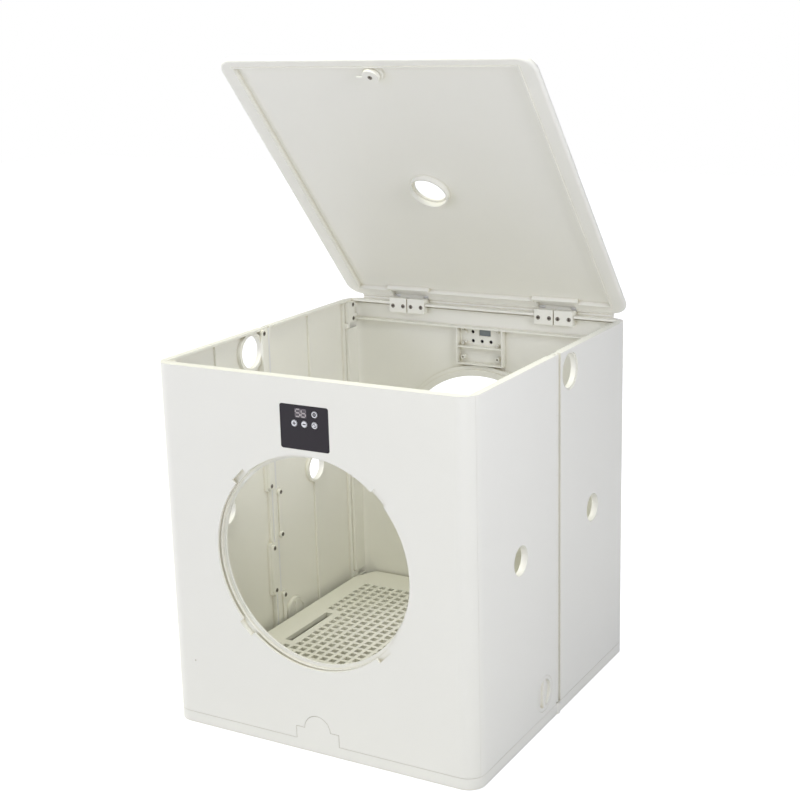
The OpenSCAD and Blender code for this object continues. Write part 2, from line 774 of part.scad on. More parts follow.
// Screwed plates of the right-hand mid hinge, one over each knuckle: a waisted plate with two
// eyes over an even knuckle, and a full-width strap over an odd one
module hinge_plates() {
    x0 = boss_x - plate_t;
    for (i = [0:knuckles - 1]) {
        y = plate_at(i);
        waisted = i % 2 == 0;
        w = waisted ? strip_w : plate_w;
        t = waisted ? strip_t : plate_t;
        difference() {
            union() {
                box(boss_x - t, boss_x, y - w / 2, y + w / 2, plate_screw_z(i, 0),
                    plate_screw_z(i, 1));
                for (e = [0, 1]) along_x(plate_w / 2, y, plate_screw_z(i, e), x0, boss_x);
            }
            for (e = [0, 1]) screw_hole_x(x0, y, plate_screw_z(i, e), plate_t + 1);
        }
    }
}

module hinge_plates_right() { color(plastic) hinge_plates(); }
module hinge_plates_left() { color(plastic) rotate(180) hinge_plates(); }

module hinge_plate_screws() {
    color(steel) for (a = [0, 180]) rotate(a)
        for (i = [0:knuckles - 1], e = [0, 1])
            screw_x(boss_x - plate_t, plate_at(i), plate_screw_z(i, e), screw_l);
}

// ---------- corner hinges ----------

// Cover that holds one corner pin, in the +X, +Y corner
module corner_cover(top) {
    z0 = top ? rim_z - block_h : wall_z;
    difference() {
        intersection() {
            translate([0, 0, z0]) linear_extrude(block_h) outline_plan(skin + seat_gap);
            box(block_x, cover_x, post_y, half_d, z0, z0 + block_h);
        }
        // relief beside the end panel
        box(block_x - 1, cover_x + 1, in_y - 9, half_d, z0 + 12, z0 + block_h - 9);
        corner_bore(top);
        for (z = corner_screw_z(z0)) screw_hole_x(block_x, post_y + cover_screw_y, z, cover_t + 1);
    }
}

module corner_covers(top) { color(plastic) corners() corner_cover(top); }

module corner_cover_screws() {
    color(steel) corners() for (z0 = [wall_z, rim_z - block_h], z = corner_screw_z(z0))
        screw_x(block_x, post_y + cover_screw_y, z, screw_l);
}

module corner_pins() {
    l = corner_bore_l + lug_gap + lug_h - seat_gap;
    color(steel) corners() {
        translate([cover_x, corner_pin_y, wall_z + block_h + lug_gap + lug_h - l])
            cylinder(r = corner_pin_r, h = l);
        translate([cover_x, corner_pin_y, rim_z - block_h - lug_gap - lug_h])
            cylinder(r = corner_pin_r, h = l);
    }
}

// ---------- lid hinges ----------

function lid_screw_x() = [for (b = [-1, 1], e = [-1, 1])
    lid_hinge_x + b * (lid_block_w + lid_block_gap) / 2 + e * lid_screw_dx];

// One block; s is the side of the box, b is -1 for the block nearer the middle, else 1
module lid_hinge_block(s, b) {
    x = lid_hinge_x + b * (lid_block_w + lid_block_gap) / 2;
    x0 = x - lid_block_w / 2;
    x1 = x + lid_block_w / 2;
    arm0 = b > 0 ? x1 - arm_w : x0;
    color(plastic) mirror([s < 0 ? 1 : 0, 0, 0]) difference() {
        union() {
            box(x0, x1, lid_block_front, lid_block_back, lid_block_z, block_top);
            box(x0, x1, lid_block_front, in_y, rim_z + seat_gap, block_top);
            box(arm0, arm0 + arm_w, in_y - 1, axis_y, body_h, axis_z + lid_barrel_r);
            along_x(lid_barrel_r, axis_y, axis_z, arm0, arm0 + arm_w);
        }
        along_x(pin_r + pin_gap, axis_y, axis_z, x0 - 1, x1 + 1);
        for (e = [-1, 1]) {
            along_y(screw_r + screw_gap, x + e * lid_screw_dx, lid_screw_z, lid_block_front - 1,
                lid_block_back + 1);
            along_y(head_r + screw_gap, x + e * lid_screw_dx, lid_screw_z, lid_block_front - 1,
                lid_block_front + head_h);
        }
    }
}

module lid_hinge_pins() {
    color(steel) for (s = [-1, 1])
        along_x(pin_r, axis_y, axis_z, s * lid_hinge_x - pair_w / 2 + 0.5,
            s * lid_hinge_x + pair_w / 2 - 0.5);
}

module lid_hinge_screws() {
    color(steel) for (s = [-1, 1], x = lid_screw_x())
        screw_y(s * x, lid_block_front, lid_screw_z, screw_l);
}

// ---------- controls ----------

module front_label() {
    color(dark) upright(-half_d, -half_d + label_t) difference() {
        label_outline(label_front_z, 0);
        for (p = switch_at)
            translate([p.x, front_cluster_z + p.y]) circle(button_r + button_gap);
    }
}

// The rear label is blank and covers the unused holes
module rear_label() {
    color(dark) rotate(180)
        upright(-half_d, -half_d + label_t) label_outline(label_rear_z, 0);
}

module control_board() {
    color("darkgreen") difference() {
        box(-board_x, board_x, board_y, board_y + board_t, front_divider_z + rib_t / 2 + 0.5,
            band_z - rib_t - 0.5);
        for (p = board_bosses)
            along_y(1, p.x, front_divider_z + p.y, board_y - 1, board_y + board_t + 1);
    }
}

// Small screws from inside through the board into its bosses
module board_screws() {
    y = board_y + board_t;
    color(steel) for (p = board_bosses) {
        z = front_divider_z + p.y;
        difference() {
            union() {
                along_y(1.8, p.x, z, y, y + 1.2);
                along_y(0.75, p.x, z, y - 4.5, y + eps);
            }
            box(p.x - 1.1, p.x + 1.1, y + 0.6, y + 2, z - 0.25, z + 0.25);
        }
    }
}

module tact_switches() {
    a = 3;
    color(dark) for (p = switch_at)
        box(p.x - a, p.x + a, board_y - switch_h, board_y, front_cluster_z + p.y - a,
            front_cluster_z + p.y + a);
}

module display_module() {
    w = window_w / 2 - bay_gap;
    h = window_h / 2 - bay_gap;
    z = front_cluster_z + row_rise;
    color(dark) box(-window_x - w, -window_x + w, -half_d + label_t, board_y, z - h, z + h);
}

module bay_cover(z0, z1) {
    box(-bay_x + bay_gap, bay_x - bay_gap, cover_y, cover_y + bay_cover_t, z0 + bay_gap,
        z1 - bay_gap);
}

module board_cover() {
    color(plastic) bay_cover(front_divider_z + rib_t / 2, band_z - rib_t);
}

module cable_cover() {
    color(plastic) difference() {
        bay_cover(housing_z + rib_t, front_divider_z - rib_t / 2);
        for (s = [-1, 1])
            along_y(screw_r + screw_gap, s * cover_post_x, cover_post_z, cover_y - 1,
                cover_y + bay_cover_t + 1);
    }
}

module cable_cover_screws() {
    color(steel) for (s = [-1, 1])
        translate([s * cover_post_x, cover_y + bay_cover_t + head_h, cover_post_z])
            rotate([0, 0, -90]) screw_x(0, 0, 0, screw_l);
}

// Cap that shows in the label, with the stem that reaches its switch
module button(i) {
    p = switch_at[i];
    z = front_cluster_z + p.y;
    color("white") {
        along_y(button_r, p.x, z, -half_d, -half_d + label_t);
        along_y(stem_hole_r - button_gap, p.x, z, -half_d + label_t - eps, stem_y);
    }
}

// ---------- caps in the side walls ----------

module port_cap() {
    r = cap_plug_r - 2;
    color(plastic) difference() {
        union() {
            along_x(cap_r, -cap_y, cap_z, half_w - seat_d, half_w);
            along_x(cap_plug_r, -cap_y, cap_z, boss_x, half_w - seat_d + eps);
        }
        difference() {
            union() {
                along_x(r, -cap_y, cap_z, half_w - cap_grip_d, half_w + 1);
                along_x(r, -cap_y, cap_z, boss_x - 1, boss_x + cap_back_d);
            }
            box(boss_x - 2, half_w + 2, -cap_y - cap_bar_w / 2, -cap_y + cap_bar_w / 2,
                cap_z - cap_r, cap_z + cap_r);
        }
    }
}

module port_cap_right() { port_cap(); }
module port_cap_left() { rotate(180) port_cap(); }

// ---------- lid ----------

// Turns the closed lid's parts about the hinge axis to the angle at which it stands
module opened() {
    translate([0, axis_y, axis_z]) rotate([-lid_open, 0, 0]) translate([0, -axis_y, -axis_z])
        children();
}

// Plan of the rib frame, moved in by inset; it steps in round the hinge blocks
module frame_plan(inset) {
    step = lid_block_in + 4.5;
    x = frame_x - inset;
    notch = hinge_notch + 3 + inset;
    y0 = -half_d + frame_v1 + inset;
    y1 = half_d - frame_v0 - inset;
    difference() {
        translate([-x, y0]) square([2 * x, y1 - y0]);
        for (s = [-1, 1])
            translate([s * lid_hinge_x - notch, half_d - step - inset]) square([2 * notch, step]);
    }
}

// Full-round edge of the lid: a bar along each side and a quarter ring at each corner
module lid_edge() {
    r = lid_t / 2;
    x = half_w - r;
    y = half_d - r;
    straight_x = half_w - corner_r;
    straight_y = half_d - corner_r;
    translate([0, 0, lid_z + r]) {
        for (s = [-1, 1]) {
            along_x(r, s * y, 0, -straight_x, straight_x);
            along_y(r, s * x, 0, -straight_y, straight_y);
        }
        corners() translate([straight_x, straight_y, 0]) rotate_extrude(angle = 90)
            translate([corner_r - r, 0]) circle(r);
    }
}

module lid() {
    color(plastic) opened() {
        difference() {
            union() {
                lid_edge();
                translate([0, 0, lid_in]) linear_extrude(lid_skin) outline_plan(lid_t / 2);
                translate([0, 0, lid_z]) linear_extrude(lid_t) difference() {
                    outline_plan(lid_t / 2);
                    frame_plan(rib_t);
                }
                translate([0, 0, frame_z]) linear_extrude(frame_drop + 1) difference() {
                    frame_plan(0);
                    frame_plan(rib_t);
                }
                for (s = [0, 1]) mirror([s, 0, 0]) {
                    lid_bead(0, lid_hinge_x - hinge_notch);
                    lid_bead(lid_hinge_x + hinge_notch, half_w - corner_r);
                }
                translate([0, 0, lid_in - vent_d]) cylinder(r = vent_r, h = vent_d + 1);
                translate([0, catch_y, lid_in - catch_boss_h])
                    cylinder(r = catch_boss_r, h = catch_boss_h + 1);
            }
            translate([0, 0, lid_in - vent_d - 1]) cylinder(r = vent_bore_r, h = vent_d + 5);
            translate([0, 0, lid_in - vent_d - 1]) cylinder(r = vent_r - vent_wall, h = vent_d + 1);
            translate([0, catch_y, frame_z - 1]) cylinder(r = shaft_r + pin_gap, h = 15);
            // pockets over the hinge blocks
            for (s = [-1, 1])
                box(s * lid_hinge_x - hinge_notch, s * lid_hinge_x + hinge_notch,
                    lid_block_front - 1, half_d + 1, frame_z - 1, lid_in);
        }
        for (s = [-1, 1]) lid_knuckle(s * lid_hinge_x);
    }
}

// Bead round the hinge axis that closes the slit behind the lid's edge, from x0 to x1
module lid_bead(x0, x1) {
    along_x(lid_barrel_r, axis_y, axis_z, x0 - eps, x1);
    box(x0 - eps, x1, half_d - lid_t / 2, axis_y, axis_z, lid_in);
}

// Knuckle of the lid between the two wall arms of a hinge
module lid_knuckle(x) {
    difference() {
        union() {
            along_x(lid_barrel_r, axis_y, axis_z, x - mid_knuckle, x + mid_knuckle);
            box(x - mid_knuckle, x + mid_knuckle, half_d - lid_skin + 0.3, axis_y, axis_z,
                lid_in + 1);
        }
        along_x(pin_r + pin_gap, axis_y, axis_z, x - mid_knuckle - 1, x + mid_knuckle + 1);
    }
}

// Inner disc with its pointer, on the shaft that passes through the lid
module lid_catch() {
    color(plastic) opened() difference() {
        union() {
            translate([0, catch_y, catch_z]) cylinder(r = catch_r, h = catch_top - catch_z);
            box(-catch_reach, 0, catch_y - pointer_w / 2, catch_y + pointer_w / 2, catch_z,
                catch_z + catch_t);
            translate([0, catch_y, catch_top - eps])
                cylinder(r = shaft_r, h = lid_top + seat_gap - catch_top + eps);
        }
        translate([0, catch_y, catch_z - 1]) cylinder(r = head_r + screw_gap,
            h = head_h + 1);
        translate([0, catch_y, catch_z]) cylinder(r = screw_r + screw_gap, h = 20);
    }
}

// Slotted knob on the outside of the lid
module lid_catch_knob() {
    z = lid_top + seat_gap;
    color(plastic) opened() difference() {
        translate([0, catch_y, z]) cylinder(r = knob_r, h = knob_h);
        translate([0, catch_y, z - 1]) cylinder(r = screw_r + screw_gap, h = 3);
        for (s = [0, 1]) mirror([s, 0, 0])
            translate([3, catch_y - 9, z + knob_h - 1.5]) cube([5, 18, 3]);
    }
}

module lid_catch_screw() {
    l = lid_top + seat_gap + 1.5 - catch_z;
    color(steel) opened() translate([0, catch_y, catch_z]) rotate([0, -90, 0]) screw_x(0, 0, 0, l);
}

base_tray();
floor_grate();
front_panel();
rear_panel();
side_left_front();
side_left_rear();
side_right_front();
side_right_rear();
mid_hinge_pin(-1);  // mid_hinge_pin_left
mid_hinge_pin(1);  // mid_hinge_pin_right
hinge_plates_left();
hinge_plates_right();
hinge_plate_screws();
corner_covers(true);  // corner_covers_top
corner_covers(false);  // corner_covers_bottom
corner_cover_screws();
corner_pins();
lid_hinge_block(-1, 1);  // lid_hinge_block_left_outer
lid_hinge_block(-1, -1);  // lid_hinge_block_left_inner
lid_hinge_block(1, -1);  // lid_hinge_block_right_inner
lid_hinge_block(1, 1);  // lid_hinge_block_right_outer
lid_hinge_pins();
lid_hinge_screws();
front_label();
rear_label();
display_module();
control_board();
board_screws();
tact_switches();
board_cover();
cable_cover();
cable_cover_screws();
button(0);  // button_power
button(1);  // button_plus
button(2);  // button_minus
button(3);  // button_timer
port_cap_left();
port_cap_right();
lid();
lid_catch();
lid_catch_knob();
lid_catch_screw();
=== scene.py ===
import json
import math

import bmesh
import bpy
import numpy as np
from bpy.props import FloatProperty, FloatVectorProperty, PointerProperty
from mathutils import Matrix, Vector

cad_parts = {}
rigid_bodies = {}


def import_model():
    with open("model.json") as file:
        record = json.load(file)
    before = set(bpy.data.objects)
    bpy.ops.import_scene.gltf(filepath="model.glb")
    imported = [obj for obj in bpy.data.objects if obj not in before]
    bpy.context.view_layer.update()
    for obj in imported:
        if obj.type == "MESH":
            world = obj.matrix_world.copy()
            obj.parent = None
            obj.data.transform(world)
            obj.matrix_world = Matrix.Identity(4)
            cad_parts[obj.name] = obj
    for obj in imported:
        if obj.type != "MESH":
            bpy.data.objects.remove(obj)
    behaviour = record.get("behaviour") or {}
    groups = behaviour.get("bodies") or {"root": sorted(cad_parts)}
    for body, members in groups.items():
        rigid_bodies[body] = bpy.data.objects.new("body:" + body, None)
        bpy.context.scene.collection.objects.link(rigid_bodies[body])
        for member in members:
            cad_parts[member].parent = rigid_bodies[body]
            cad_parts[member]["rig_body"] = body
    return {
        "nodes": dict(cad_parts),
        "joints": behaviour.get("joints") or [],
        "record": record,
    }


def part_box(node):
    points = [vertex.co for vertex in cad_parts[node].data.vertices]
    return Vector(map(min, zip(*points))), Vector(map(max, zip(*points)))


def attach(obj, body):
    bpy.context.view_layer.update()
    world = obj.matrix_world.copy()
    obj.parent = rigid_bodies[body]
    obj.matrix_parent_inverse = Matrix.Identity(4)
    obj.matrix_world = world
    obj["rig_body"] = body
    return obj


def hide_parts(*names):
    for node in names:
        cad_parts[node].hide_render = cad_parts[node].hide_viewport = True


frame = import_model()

bl_info = {
    "name": "Folding pet cabin",
    "version": (1, 0, 0),
    "blender": (4, 5, 0),
    "location": "3D View > Sidebar > Pet cabin",
    "description": "Finishes and fine detail of a folding pet cabin round its packed parts",
    "category": "Object",
}

NODES = frame["nodes"]
MM = 0.001

# How far the painted shade reaches: a moulding's colour turns a darker, warmer brown within this
# distance of another surface, as shade in its crevices
PAINTED_SHADE_REACH = 7 * MM
# Edges sharper than this many degrees are rounded
SHARP = 30
# Points closer than this, in metres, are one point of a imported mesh
WELD = 2e-6
# Radius that the label film's cutter leaves
FILM_EDGE = 0.2 * MM

# Painted shade on screw heads, a dark cross in the recess and a ring round the seat, as shares of
# the head's radius
CROSS_REACH, CROSS_ARM = 0.72, 0.2
SEAT_SHADE_RADIUS, SEAT_SHADE_WIDTH = 0.88, 0.22

# Marks on the keys
PLUS_REACH, PLUS_ARM = 1.9 * MM, 0.6 * MM
MINUS_REACH, MINUS_ARM = 2.1 * MM, 0.65 * MM
TIMER_RADIUS, TIMER_LINE = 2.2 * MM, 0.75 * MM
POWER_WELL = 2.4 * MM
RIM_RADIUS, RIM_WIDTH = 3.9 * MM, 0.4 * MM

# Display: size of a digit, its place beside the middle, and half the field behind both
DIGIT_WIDTH, DIGIT_HEIGHT = 5.9 * MM, 8.6 * MM
DIGIT_OFFSET = 3.9 * MM
FIELD_HALF_WIDTH, FIELD_HALF_HEIGHT = 7.9 * MM, 5.3 * MM
DIGIT_LEAN = 0.08

# Pane in the rear housing: its sides from the label's middle, its front and its thickness
PANE_X, PANE_Z = (-4.4 * MM, 13.2 * MM), (12.3 * MM, 21.9 * MM)
PANE_PROUD, PANE_THICK = 0.06 * MM, 0.05 * MM

# Strips behind the folding seams: clearance to the plates, thickness, and reach along Y
STRIP_GAP, STRIP_THICK = 0.1 * MM, 0.4 * MM
STRIP_FROM, STRIP_WIDTH = 3.4 * MM, 4 * MM

# Stage
FLOOR_HALF = 6.0
FLOOR_DROP = 0.5 * MM
FLOOR_TONE = 0.7
# The floor is seen this white near the object, and fully white past these distances in metres
FLOOR_GLOW = 0.65
FLOOR_FADE = (0.35, 0.9)
SURROUND_COLOUR = (0.93, 0.98, 1.0, 1)
SURROUND_STRENGTH = 0.27
CAMERA_PLACE = (0.9187, -1.6011, 0.8662)
CAMERA_YAW, CAMERA_PITCH, CAMERA_ROLL = -29.97, 14.54, 1.55
CAMERA_LENS, CAMERA_SENSOR = 67.39, 36


# ---------- frame helpers ----------

def low(node):
    """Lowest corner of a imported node."""
    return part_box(node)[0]


def high(node):
    """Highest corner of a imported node."""
    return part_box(node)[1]


def middle(node):
    """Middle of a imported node's box."""
    lo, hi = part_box(node)
    return (lo + hi) / 2


# ---------- shader helpers ----------

class Wire:
    """A node's output socket, with arithmetic that adds Math nodes."""

    def __init__(self, graph, socket):
        self.graph = graph
        self.socket = socket

    def _math(self, operation, first, second=0.0):
        return self.graph.node("ShaderNodeMath", {"operation": operation}, {0: first, 1: second})

    def __add__(self, other):
        return self._math("ADD", self, other)

    def __sub__(self, other):
        return self._math("SUBTRACT", self, other)

    def __rsub__(self, other):
        return self._math("SUBTRACT", other, self)

    def __mul__(self, other):
        return self._math("MULTIPLY", self, other)

    def larger(self, other):
        """The larger of the two."""
        return self._math("MAXIMUM", self, other)

    def to_range(self, start, end):
        """0 at start, 1 at end, held outside them."""
        return self.graph.node("ShaderNodeMapRange", {"clamp": True},
                               {"Value": self, "From Min": start, "From Max": end})


class Graph:
    """An emptied node tree, with a short way to add nodes to it."""

    def __init__(self, tree):
        self.tree = tree
        tree.nodes.clear()

    def node(self, kind, settings=None, links=None, out=0):
        """Adds a node with its settings, then sets or links its inputs; returns one output."""
        made = self.tree.nodes.new(kind)
        for key, value in (settings or {}).items():
            setattr(made, key, value)
        for key, value in (links or {}).items():
            if isinstance(value, Wire):
                self.tree.links.new(value.socket, made.inputs[key])
            else:
                made.inputs[key].default_value = value
        return Wire(self, made.outputs[out])

    def seen_by(self, *rays):
        """1 on a ray of any of the given kinds, else 0."""
        path = self.tree.nodes.new("ShaderNodeLightPath")
        seen, *others = (Wire(self, path.outputs[ray]) for ray in rays)
        for other in others:
            seen = seen.larger(other)
        return seen

    def output(self, kind, shader):
        """Makes shader the surface of a new output node of this kind."""
        self.tree.links.new(shader.socket, self.tree.nodes.new(kind).inputs["Surface"])


class Finish(Graph):
    """One material's node tree."""

    def __init__(self, name):
        self.material = bpy.data.materials.new(name)
        self.material.use_nodes = True
        super().__init__(self.material.node_tree)

    def place(self):
        """Object coordinates, in metres."""
        return self.node("ShaderNodeTexCoord", out=3)

    def noise(self, scale, detail, roughness):
        """Smooth noise from 0 to 1; scale is in waves per metre."""
        return self.node("ShaderNodeTexNoise", {}, {
            "Vector": self.place(), "Scale": scale, "Detail": detail, "Roughness": roughness})

    def blend(self, share, first, second):
        """Colour first where share is 0, second where it is 1."""
        return self.node("ShaderNodeMix", {"data_type": "RGBA"}, {0: share, 6: first, 7: second},
                         out=2)

    def surface(self, colour, roughness, normal=None, **fixed):
        """Principled shader as the material's surface."""
        links = {"Base Color": colour, "Roughness": roughness}
        if normal is not None:
            links["Normal"] = normal
        links.update({key.replace("_", " "): value for key, value in fixed.items()})
        self.output("ShaderNodeOutputMaterial",
                    self.node("ShaderNodeBsdfPrincipled", {}, links))
        return self.material


def rgb(red, green, blue):
    """Linear colour with alpha 1 from display values of 0 to 255."""
    def linear(value):
        share = value / 255
        return share / 12.92 if share <= 0.04045 else ((share + 0.055) / 1.055) ** 2.4
    return (linear(red), linear(green), linear(blue), 1.0)


def shaded(colour, factor):
    """A colour with each channel multiplied by factor."""
    return tuple(min(1.0, channel * factor) for channel in colour[:3]) + (1.0,)


# ---------- finishes ----------

def moulded_plastic(name, colour, roughness, grain, edge=None):
    """Injection-moulded plastic: a fine spark-eroded grain, slow flow marks in colour and
    gloss, a few scuffs that catch the light, and painted shade in its crevices, where an
    occlusion test darkens the colour to a warm brown. Where edge is given, the shading turns
    over sharp edges within that distance."""
    f = Finish(name)
    flow = f.noise(9.0, 3.0, 0.55)
    cloud = f.noise(38.0, 2.0, 0.5)
    fine = f.noise(1500.0, 1.0, 0.5)
    # Painted shade: where an occlusion test finds other surfaces close by, in crevices and
    # between parts, the colour is blended towards a darker, warmer brown
    open_share = f.node("ShaderNodeAmbientOcclusion", {"samples": 4, "only_local": False},
                        {"Distance": PAINTED_SHADE_REACH}, out=1)
    depth = (1.0 - open_share).to_range(0.25, 1.0)
    tint = f.blend(flow, shaded(colour, 0.985), shaded(colour, 1.012))
    painted_crevice_shade = tuple(channel * factor for channel, factor in zip(colour, (0.62, 0.56, 0.42))) + (1,)
    tint = f.blend(depth * 0.8, tint, painted_crevice_shade)
    scuff = f.noise(90.0, 6.0, 0.7).to_range(0.62, 0.72)
    gloss = (cloud - 0.5) * 0.07 + (flow - 0.5) * 0.05 + scuff * 0.05 + roughness
    links = {"Strength": grain, "Distance": 0.05 * MM, "Height": fine}
    if edge is not None:
        links["Normal"] = f.node("ShaderNodeBevel", {"samples": 4}, {"Radius": edge})
    bump = f.node("ShaderNodeBump", {}, links)
    return f.surface(tint, gloss, bump, IOR=1.46)


def zinc_steel():
    """Zinc-plated steel, dulled in patches to a warm grey."""
    f = Finish("zinc_steel")
    patch = f.noise(260.0, 3.0, 0.6)
    colour = f.blend(patch, rgb(136, 128, 116), rgb(204, 200, 192))
    return f.surface(colour, patch * 0.25 + 0.25, Metallic=1.0)


def label_film():
    """Printed film with a satin hard coat over dark ink; the ink is a little uneven."""
    f = Finish("label_film")
    colour = tuple(settings().film) + (1.0,)
    speck = f.noise(700.0, 2.0, 0.6)
    slow = f.noise(30.0, 2.0, 0.5)
    tint = f.blend(slow, shaded(colour, 0.9), shaded(colour, 1.1))
    bump = f.node("ShaderNodeBump", {}, {
        "Strength": 0.15, "Distance": 0.02 * MM, "Height": speck})
    return f.surface(tint, slow * 0.1 + 0.45, bump, IOR=1.38)


def ink(name, colour, roughness=0.4):
    """Opaque screen ink, slightly uneven where it was pressed through the mesh."""
    f = Finish(name)
    weave = f.noise(2600.0, 1.0, 0.5)
    tint = f.blend(weave, shaded(colour, 0.92), colour)
    return f.surface(tint, weave * 0.15 + roughness)


def painted_screw_shade(name, colour):
    """Painted shade in a screw's recess and round its seat: dull metal darkened to a dark brown,
    lighter and darker in patches.
    """
    f = Finish(name)
    patch = f.noise(420.0, 3.0, 0.6)
    tint = f.blend(patch, shaded(colour, 0.6), shaded(colour, 1.35))
    return f.surface(tint, patch * 0.2 + 0.45, Metallic=0.4)


def smoked_window():
    """Blue-grey acrylic with faint streaks, over the back of a display."""
    f = Finish("smoked_window")
    streak = f.noise(60.0, 3.0, 0.6)
    tint = f.blend(streak, rgb(118, 128, 134), rgb(146, 154, 158))
    return f.surface(tint, streak * 0.1 + 0.2)


def solder_mask():
    """Green board with copper tracks under the mask."""
    f = Finish("board_green")
    track = f.node("ShaderNodeTexBrick", {}, {
        "Vector": f.place(), "Scale": 180.0, "Mortar Size": 0.03}, out=1)
    colour = f.blend(track, rgb(20, 92, 52), rgb(30, 118, 66))
    return f.surface(colour, track * 0.1 + 0.3)


# ---------- mesh helpers ----------

def new_piece(name, points, faces, body, slot, material, smooth=None):
    """Makes a mesh object that rides on a body; smooth is the angle above which an edge
    stays sharp."""
    mesh = bpy.data.meshes.new(name)
    mesh.from_pydata([tuple(p) for p in np.asarray(points, float)], [],
                     [tuple(int(i) for i in face) for face in faces])
    mesh.update()
    piece = bpy.data.objects.new(name, mesh)
    bpy.context.scene.collection.objects.link(piece)
    mesh.materials.append(material)
    if smooth is not None:
        mesh.shade_smooth()
        mesh.set_sharp_from_angle(angle=math.radians(smooth))
    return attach(piece, body)


def grid_faces(rows, columns, wrap_rows=False, wrap_columns=False):
    """Quads of a grid of rows by columns points; a wrapped direction closes on itself."""
    r = np.arange(rows if wrap_rows else rows - 1)
    c = np.arange(columns if wrap_columns else columns - 1)
    rr, cc = np.meshgrid(r, c, indexing="ij")
    r2 = (rr + 1) % rows
    c2 = (cc + 1) % columns
    quads = np.stack([rr * columns + cc, r2 * columns + cc, r2 * columns + c2,
                      rr * columns + c2], axis=-1)
    return quads.reshape(-1, 4)


def paint(node, material):
    """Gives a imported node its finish."""
    data = NODES[node].data
    data.materials.clear()
    data.materials.append(material)


def merged(node):
    """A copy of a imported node's mesh with its loose triangles joined and its flat faces
    made whole."""
    graph = bmesh.new()
    graph.from_mesh(NODES[node].data)
    bmesh.ops.remove_doubles(graph, verts=graph.verts, dist=WELD)
    bmesh.ops.dissolve_limit(graph, angle_limit=math.radians(0.5), verts=graph.verts,
                             edges=graph.edges)
    mesh = bpy.data.meshes.new(node + "_soft")
    graph.to_mesh(mesh)
    graph.free()
    return mesh


def soften(node, edge, material):
    """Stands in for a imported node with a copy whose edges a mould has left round: each edge
    sharper than SHARP degrees is cut back by a small arc that runs along it."""
    mesh = merged(node)
    mesh.materials.clear()
    mesh.materials.append(material)
    mesh.shade_smooth()
    piece = bpy.data.objects.new(node + "_soft", mesh)
    bpy.context.scene.collection.objects.link(piece)
    bevel = piece.modifiers.new("round edges", "BEVEL")
    bevel.width = edge
    bevel.segments = 2
    bevel.limit_method = "ANGLE"
    bevel.angle_limit = math.radians(SHARP)
    bevel.use_clamp_overlap = False
    even = piece.modifiers.new("even shading", "WEIGHTED_NORMAL")
    even.mode = "FACE_AREA"
    even.keep_sharp = False
    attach(piece, NODES[node]["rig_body"])
    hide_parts(node)


def stroke(path, width, front, depth, closed=False):
    """Points and faces of a flat band that stands on a plate facing -Y. A rectangle, width
    across and depth thick, is carried along a path of (x, z) points in the plate, square to
    the path at each point; a closed path joins up, an open one gets two end faces."""
    path = np.asarray(path, float)
    if closed:
        run = np.roll(path, -1, 0) - np.roll(path, 1, 0)
    else:
        run = np.gradient(path, axis=0)
    run /= np.linalg.norm(run, axis=1)[:, None]
    side = np.stack([-run[:, 1], run[:, 0]], 1) * width / 2
    left, right = path + side, path - side
    n = len(path)
    corners = np.stack([
        np.c_[left[:, 0], np.full(n, front), left[:, 1]],
        np.c_[left[:, 0], np.full(n, front + depth), left[:, 1]],
        np.c_[right[:, 0], np.full(n, front + depth), right[:, 1]],
        np.c_[right[:, 0], np.full(n, front), right[:, 1]]], 1)
    faces = [list(q) for q in grid_faces(n, 4, wrap_rows=closed, wrap_columns=True)]
    if not closed:
        faces += [[3, 2, 1, 0], [4 * n - 4, 4 * n - 3, 4 * n - 2, 4 * n - 1]]
    return corners.reshape(-1, 3), faces


def arc(x, z, radius, start, end, count=48):
    """(x, z) points at radius from a centre, from one angle in degrees to another."""
    t = np.radians(np.linspace(start, end, count, endpoint=(end - start) % 360 != 0))
    return np.stack([x + radius * np.cos(t), z + radius * np.sin(t)], 1)


def disc(x, z, radius, front, depth, count=48):
    """A round plate: rings of radius 0, radius, radius and 0 turned about the Y axis through
    (x, z), the first two at the front and the others depth behind."""
    t = np.linspace(0, 2 * math.pi, count, endpoint=False)
    r = np.array([0.02, 1, 1, 0.02])[:, None] * radius
    y = np.array([front, front, front + depth, front + depth])[:, None] + 0 * t
    points = np.stack([x + r * np.cos(t), y, z + r * np.sin(t)], -1).reshape(-1, 3)
    faces = [list(q) for q in grid_faces(4, count, wrap_columns=True)]
    faces += [list(range(count - 1, -1, -1)), list(range(3 * count, 4 * count))]
    return points, faces


def slab(x0, x1, z0, z1, front, depth):
    """A rectangular plate between two corners."""
    middle_z = (z0 + z1) / 2
    return stroke([(x0, middle_z), ((x0 + x1) / 2, middle_z), (x1, middle_z)], z1 - z0, front,
                  depth)


def joined(shapes):
    """Points and faces of several shapes as one mesh."""
    points, faces, start = [], [], 0
    for shape_points, shape_faces in shapes:
        points.append(shape_points)
        faces += [[int(i) + start for i in face] for face in shape_faces]
        start += len(shape_points)
    return np.concatenate(points), faces


def facing_out(piece):
    """Turns a closed mesh's faces outwards."""
    graph = bmesh.new()
    graph.from_mesh(piece.data)
    bmesh.ops.recalc_face_normals(graph, faces=graph.faces)
    graph.to_mesh(piece.data)
    graph.free()
    return piece


